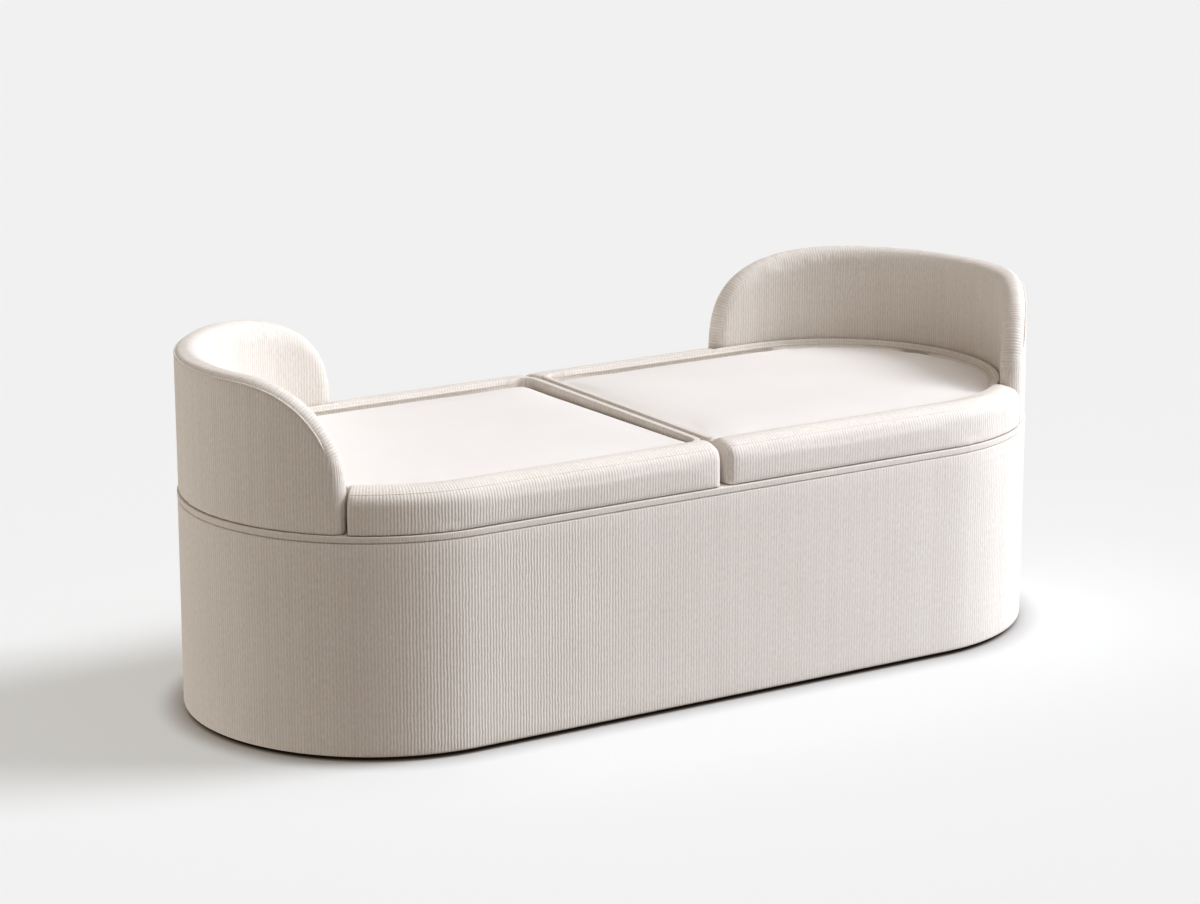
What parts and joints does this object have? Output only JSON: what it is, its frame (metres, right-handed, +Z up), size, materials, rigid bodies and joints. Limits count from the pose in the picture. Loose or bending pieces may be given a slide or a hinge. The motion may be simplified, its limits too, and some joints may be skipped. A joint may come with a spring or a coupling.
{
  "type": "upholstered storage bench",
  "caption": "Long upholstered bench with half-round ends, curved low arms that fall to the seat, and lift-off seat trays over storage bins.",
  "frame": {"origin": "on the floor under the middle of the bench", "axes": "+X along the bench to the right, -Y to the front, +Z up"},
  "size_m": [1.4566, 0.601, 0.56],
  "materials": {
    "ribbed_cloth": "woven rep cloth with fine upright ribs, matt",
    "trim_cloth": "the same cloth sewn as a narrow flat band",
    "pad_cloth": "smooth tight plain weave, matt",
    "foam": "open-cell upholstery foam",
    "underside_cloth": "thin non-woven cloth",
    "bin_felt": "needled felt",
    "glide_plastic": "moulded, satin",
    "bumper_rubber": "soft moulded rubber",
    "bolt_steel": "zinc plated",
    "pine": "planed softwood",
    "plywood": "sanded birch plywood"
  },
  "bodies": {
    "base": {"arm_bolts": "bolt_steel", "base_cover": "ribbed_cloth", "base_foam": "foam", "bottom_panel": "plywood", "centre_divider": "plywood", "corner_posts": "pine", "deck": "plywood", "divider_cleats": "pine", "dust_cover": "underside_cloth", "front_panel": "plywood", "glides": "glide_plastic", "left_arm_frame": "plywood", "left_arm_pad": "ribbed_cloth", "left_bin_mat": "bin_felt", "left_end_wall": "plywood", "rear_panel": "plywood", "right_arm_frame": "plywood", "right_arm_pad": "ribbed_cloth", "right_bin_mat": "bin_felt", "right_end_wall": "plywood", "trim_band": "trim_cloth"},
    "left_lid": {"left_lid_battens": "pine", "left_lid_board": "plywood", "left_lid_bumpers": "bumper_rubber", "left_lid_end_hoop": "plywood", "left_lid_end_rim": "ribbed_cloth", "left_lid_front_border": "ribbed_cloth", "left_lid_front_rail": "pine", "left_lid_gap_rim": "ribbed_cloth", "left_lid_gap_strip": "plywood", "left_lid_lining": "underside_cloth", "left_lid_rear_border": "ribbed_cloth", "left_lid_rear_rail": "pine", "left_seat_pad": "pad_cloth"},
    "right_lid": {"right_lid_battens": "pine", "right_lid_board": "plywood", "right_lid_bumpers": "bumper_rubber", "right_lid_end_hoop": "plywood", "right_lid_end_rim": "ribbed_cloth", "right_lid_front_border": "ribbed_cloth", "right_lid_front_rail": "pine", "right_lid_gap_rim": "ribbed_cloth", "right_lid_gap_strip": "plywood", "right_lid_lining": "underside_cloth", "right_lid_rear_border": "ribbed_cloth", "right_lid_rear_rail": "pine", "right_seat_pad": "pad_cloth"}
  },
  "joints": [
    {"name": "left_lid_lift", "type": "slide", "parent": "base", "child": "left_lid", "axis": [0, 0, 1], "range_m": [0, 0.27]},
    {"name": "right_lid_lift", "type": "slide", "parent": "base", "child": "right_lid", "axis": [0, 0, 1], "range_m": [0, 0.27]}
  ]
}
